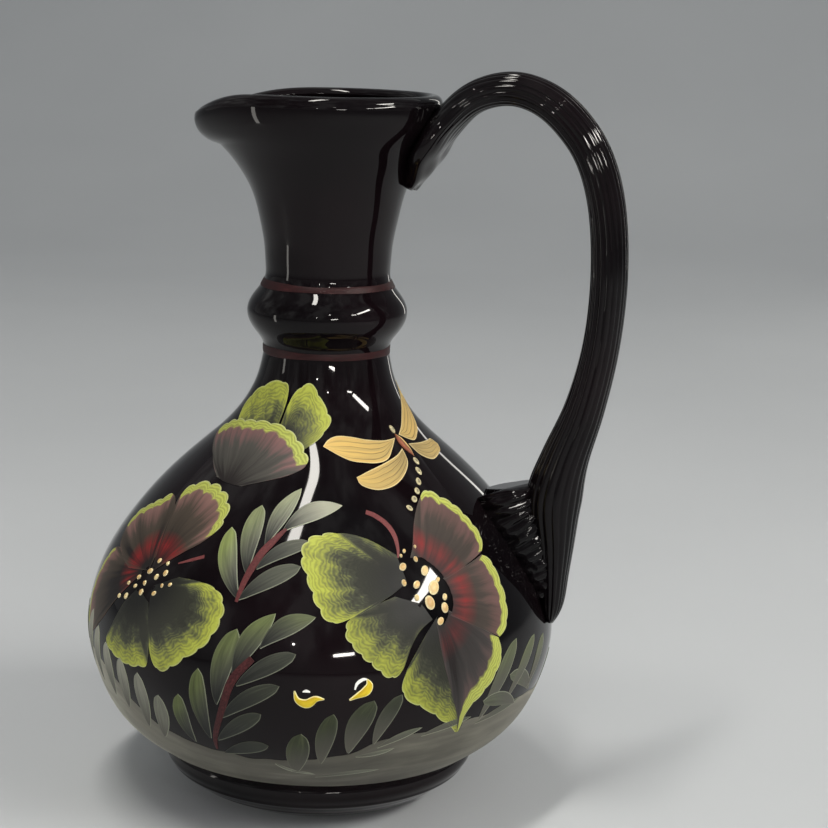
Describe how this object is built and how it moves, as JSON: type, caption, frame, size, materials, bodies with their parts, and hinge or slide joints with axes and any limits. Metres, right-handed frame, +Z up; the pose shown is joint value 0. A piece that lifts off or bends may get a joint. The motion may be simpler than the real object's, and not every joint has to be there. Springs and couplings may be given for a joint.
{
  "type": "pitcher",
  "caption": "Handled pitcher of black glass with a footed round belly, knopped neck, pulled spout, reeded strap handle and painted enamel flowers.",
  "frame": {"origin": "centre of the foot's flat underside, on the axis of the belly", "axes": "+Z up along the axis, +X towards the handle, -X towards the spout, -Y towards the painted front"},
  "size_m": [0.1734, 0.1542, 0.2388],
  "materials": {
    "black_glass": "opaque black, fire-polished, mirror gloss",
    "maroon_enamel": "fired enamel, satin",
    "ground_enamel": "thin fired enamel wash, satin",
    "green_enamel": "fired enamel, satin",
    "plum_enamel": "fired enamel, satin",
    "ochre_enamel": "fired enamel, satin",
    "leaf_enamel": "fired enamel, satin",
    "yellow_enamel": "fired enamel, satin"
  },
  "bodies": {
    "root": {"vessel": "black_glass", "foot": "black_glass", "handle": "black_glass", "upper_neck_band": "maroon_enamel", "lower_neck_band": "maroon_enamel", "ground_band": "ground_enamel", "top_flower": "green_enamel", "left_flower": "plum_enamel", "right_flower": "plum_enamel", "dragonfly": "ochre_enamel", "upper_leaf_spray": "leaf_enamel", "lower_leaf_spray": "leaf_enamel", "left_crescent": "yellow_enamel", "right_crescent": "yellow_enamel"}
  },
  "joints": []
}
